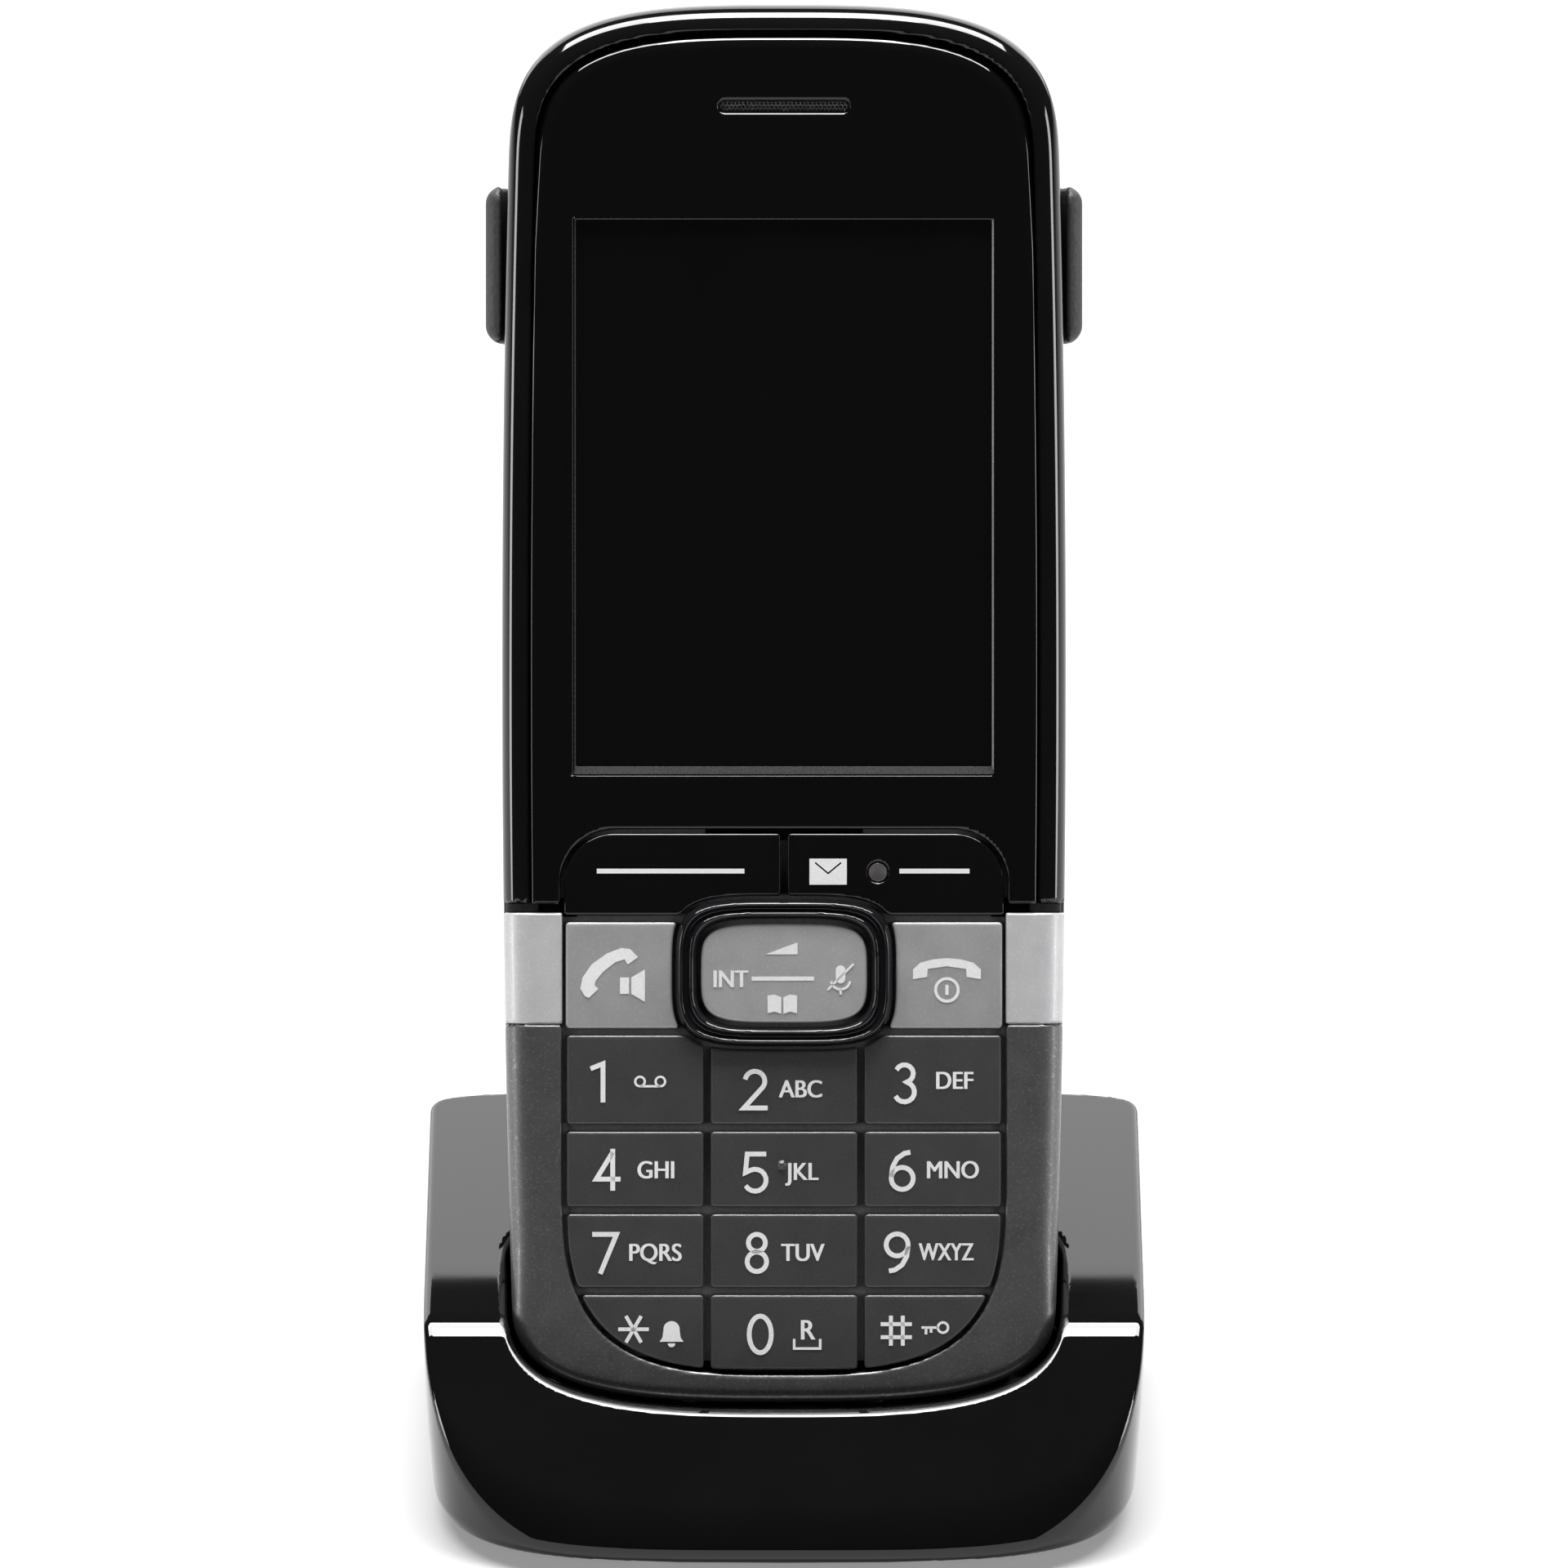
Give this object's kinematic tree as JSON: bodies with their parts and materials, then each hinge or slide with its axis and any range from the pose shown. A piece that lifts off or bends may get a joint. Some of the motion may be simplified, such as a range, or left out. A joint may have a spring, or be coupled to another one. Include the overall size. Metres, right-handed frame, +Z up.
{
  "type": "cordless telephone with charging cradle",
  "caption": "Slim cordless telephone handset with keypad, display and belt clip, leaning back in a small open charging cradle.",
  "frame": {"origin": "on the surface the cradle stands on, midway between the cradle's front edge and the back of the belt clip", "axes": "+Z up; the display and keypad face -Y and lean back 20 degrees; +X to the right as the user sees it"},
  "size_m": [0.064, 0.0746, 0.1263],
  "materials": {
    "cradle_black": "polished moulded plastic",
    "base_plastic": "fine spark-eroded grain",
    "foot_rubber": "soft matt",
    "screw_steel": "zinc plated",
    "board_green": "solder mask",
    "socket_ivory": "moulded nylon",
    "ballast_iron": "raw",
    "contact_metal": "bright plated",
    "case_black": "semi-gloss moulded plastic",
    "bezel_black": "high gloss",
    "graphite_paint": "metallic lacquer",
    "silver_paint": "satin metallic lacquer",
    "window_black": "clear acrylic, printed black at the back",
    "display_grey": "display glass, switched off",
    "foam_grey": "matt",
    "mesh_metal": "woven mesh",
    "speaker_metal": "plated",
    "chassis_grey": "moulded",
    "mat_silicone": "translucent silicone",
    "dome_steel": "bright",
    "battery_wrap": "film wrap",
    "key_graphite": "metallic lacquer under clear coat",
    "key_black": "high gloss",
    "key_silver": "satin metallic",
    "light_red": "clear red light guide",
    "ring_black": "polished",
    "clip_black": "fine grain",
    "acetal_white": "moulded"
  },
  "bodies": {
    "cradle": {"cradle_shell": "cradle_black", "cradle_base_plate": "base_plastic", "cradle_feet": "foot_rubber", "cradle_screws": "screw_steel", "cradle_circuit_board": "board_green", "power_socket": "socket_ivory", "ballast_weights": "ballast_iron"},
    "handset": {"rear_housing": "case_black", "upper_bezel": "bezel_black", "keypad_frame": "graphite_paint", "silver_band_left": "silver_paint", "silver_band_right": "silver_paint", "display_window": "window_black", "display_module": "display_grey", "display_gasket": "foam_grey", "earpiece_mesh": "mesh_metal", "earpiece_speaker": "speaker_metal", "chassis": "chassis_grey", "key_mat": "mat_silicone", "dome_switches": "dome_steel", "main_board": "board_green", "loudspeaker": "speaker_metal", "vibration_motor": "speaker_metal", "microphone": "contact_metal", "antenna": "contact_metal", "battery": "battery_wrap", "battery_contacts": "contact_metal", "charging_contacts": "contact_metal", "usb_socket": "speaker_metal", "housing_screws": "screw_steel", "nav_ring": "ring_black"},
    "contact_pin_left": {"contact_pin_left": "contact_metal"},
    "contact_pin_right": {"contact_pin_right": "contact_metal"},
    "battery_cover": {"battery_cover": "case_black"},
    "belt_clip": {"belt_clip_frame": "clip_black"},
    "belt_clip_tongue": {"belt_clip_tongue": "clip_black"},
    "nav_actuator": {"nav_actuator": "acetal_white"},
    "nav_carrier": {"nav_carrier": "acetal_white"},
    "nav_key": {"nav_key": "key_silver"},
    "soft_key_left": {"soft_key_left": "key_black"},
    "soft_key_right": {"soft_key_right": "key_black", "message_light": "light_red"},
    "talk_key": {"talk_key": "key_silver"},
    "end_key": {"end_key": "key_silver"},
    "key_1": {"key_1": "key_graphite"},
    "key_2": {"key_2": "key_graphite"},
    "key_3": {"key_3": "key_graphite"},
    "key_4": {"key_4": "key_graphite"},
    "key_5": {"key_5": "key_graphite"},
    "key_6": {"key_6": "key_graphite"},
    "key_7": {"key_7": "key_graphite"},
    "key_8": {"key_8": "key_graphite"},
    "key_9": {"key_9": "key_graphite"},
    "key_star": {"key_star": "key_graphite"},
    "key_0": {"key_0": "key_graphite"},
    "key_hash": {"key_hash": "key_graphite"}
  },
  "joints": [
    {"name": "handset_lift", "type": "slide", "parent": "cradle", "child": "handset", "axis": [0, 0.342, 0.9397], "range_m": [0, 0.08]},
    {"name": "contact_press_left", "type": "slide", "parent": "cradle", "child": "contact_pin_left", "axis": [0, -0.342, -0.9397], "range_m": [0, 0.0006], "stiffness_N_per_m": 300, "springref_m": -0.001},
    {"name": "contact_press_right", "type": "slide", "parent": "cradle", "child": "contact_pin_right", "axis": [0, -0.342, -0.9397], "range_m": [0, 0.0006], "stiffness_N_per_m": 300, "springref_m": -0.001},
    {"name": "battery_cover_open", "type": "hinge", "parent": "handset", "child": "battery_cover", "pos_m": [0, -0.00214, 0.02469], "axis": [-1, 0, 0], "range_deg": [0, 30]},
    {"name": "belt_clip_remove", "type": "slide", "parent": "handset", "child": "belt_clip", "axis": [0, 0.9397, -0.342], "range_m": [0, 0.025]},
    {"name": "belt_clip_open", "type": "hinge", "parent": "belt_clip", "child": "belt_clip_tongue", "pos_m": [0, 0.03507, 0.10033], "axis": [1, 0, 0], "range_deg": [0, 12], "stiffness_Nm_per_rad": 0.05, "springref_deg": -5.73},
    {"name": "nav_press", "type": "slide", "parent": "handset", "child": "nav_actuator", "axis": [0, 0.9397, -0.342], "range_m": [0, 0.0003], "stiffness_N_per_m": 500, "springref_m": -0.001},
    {"name": "nav_rock_up_down", "type": "hinge", "parent": "nav_actuator", "child": "nav_carrier", "pos_m": [0, -0.00759, 0.04583], "axis": [1, 0, 0], "range_deg": [-3, 3], "stiffness_Nm_per_rad": 0.03},
    {"name": "nav_rock_left_right", "type": "hinge", "parent": "nav_carrier", "child": "nav_key", "pos_m": [0, -0.00863, 0.04621], "axis": [0, 0.342, 0.9397], "range_deg": [-3, 3], "stiffness_Nm_per_rad": 0.03},
    {"name": "press_soft_key_left", "type": "slide", "parent": "handset", "child": "soft_key_left", "axis": [0, 0.9397, -0.342], "range_m": [0, 0.0004], "stiffness_N_per_m": 500, "springref_m": -0.001},
    {"name": "press_soft_key_right", "type": "slide", "parent": "handset", "child": "soft_key_right", "axis": [0, 0.9397, -0.342], "range_m": [0, 0.0004], "stiffness_N_per_m": 500, "springref_m": -0.001},
    {"name": "press_talk_key", "type": "slide", "parent": "handset", "child": "talk_key", "axis": [0, 0.9397, -0.342], "range_m": [0, 0.0004], "stiffness_N_per_m": 500, "springref_m": -0.001},
    {"name": "press_end_key", "type": "slide", "parent": "handset", "child": "end_key", "axis": [0, 0.9397, -0.342], "range_m": [0, 0.0004], "stiffness_N_per_m": 500, "springref_m": -0.001},
    {"name": "press_key_1", "type": "slide", "parent": "handset", "child": "key_1", "axis": [0, 0.9397, -0.342], "range_m": [0, 0.0004], "stiffness_N_per_m": 500, "springref_m": -0.001},
    {"name": "press_key_2", "type": "slide", "parent": "handset", "child": "key_2", "axis": [0, 0.9397, -0.342], "range_m": [0, 0.0004], "stiffness_N_per_m": 500, "springref_m": -0.001},
    {"name": "press_key_3", "type": "slide", "parent": "handset", "child": "key_3", "axis": [0, 0.9397, -0.342], "range_m": [0, 0.0004], "stiffness_N_per_m": 500, "springref_m": -0.001},
    {"name": "press_key_4", "type": "slide", "parent": "handset", "child": "key_4", "axis": [0, 0.9397, -0.342], "range_m": [0, 0.0004], "stiffness_N_per_m": 500, "springref_m": -0.001},
    {"name": "press_key_5", "type": "slide", "parent": "handset", "child": "key_5", "axis": [0, 0.9397, -0.342], "range_m": [0, 0.0004], "stiffness_N_per_m": 500, "springref_m": -0.001},
    {"name": "press_key_6", "type": "slide", "parent": "handset", "child": "key_6", "axis": [0, 0.9397, -0.342], "range_m": [0, 0.0004], "stiffness_N_per_m": 500, "springref_m": -0.001},
    {"name": "press_key_7", "type": "slide", "parent": "handset", "child": "key_7", "axis": [0, 0.9397, -0.342], "range_m": [0, 0.0004], "stiffness_N_per_m": 500, "springref_m": -0.001},
    {"name": "press_key_8", "type": "slide", "parent": "handset", "child": "key_8", "axis": [0, 0.9397, -0.342], "range_m": [0, 0.0004], "stiffness_N_per_m": 500, "springref_m": -0.001},
    {"name": "press_key_9", "type": "slide", "parent": "handset", "child": "key_9", "axis": [0, 0.9397, -0.342], "range_m": [0, 0.0004], "stiffness_N_per_m": 500, "springref_m": -0.001},
    {"name": "press_key_star", "type": "slide", "parent": "handset", "child": "key_star", "axis": [0, 0.9397, -0.342], "range_m": [0, 0.0004], "stiffness_N_per_m": 500, "springref_m": -0.001},
    {"name": "press_key_0", "type": "slide", "parent": "handset", "child": "key_0", "axis": [0, 0.9397, -0.342], "range_m": [0, 0.0004], "stiffness_N_per_m": 500, "springref_m": -0.001},
    {"name": "press_key_hash", "type": "slide", "parent": "handset", "child": "key_hash", "axis": [0, 0.9397, -0.342], "range_m": [0, 0.0004], "stiffness_N_per_m": 500, "springref_m": -0.001}
  ]
}
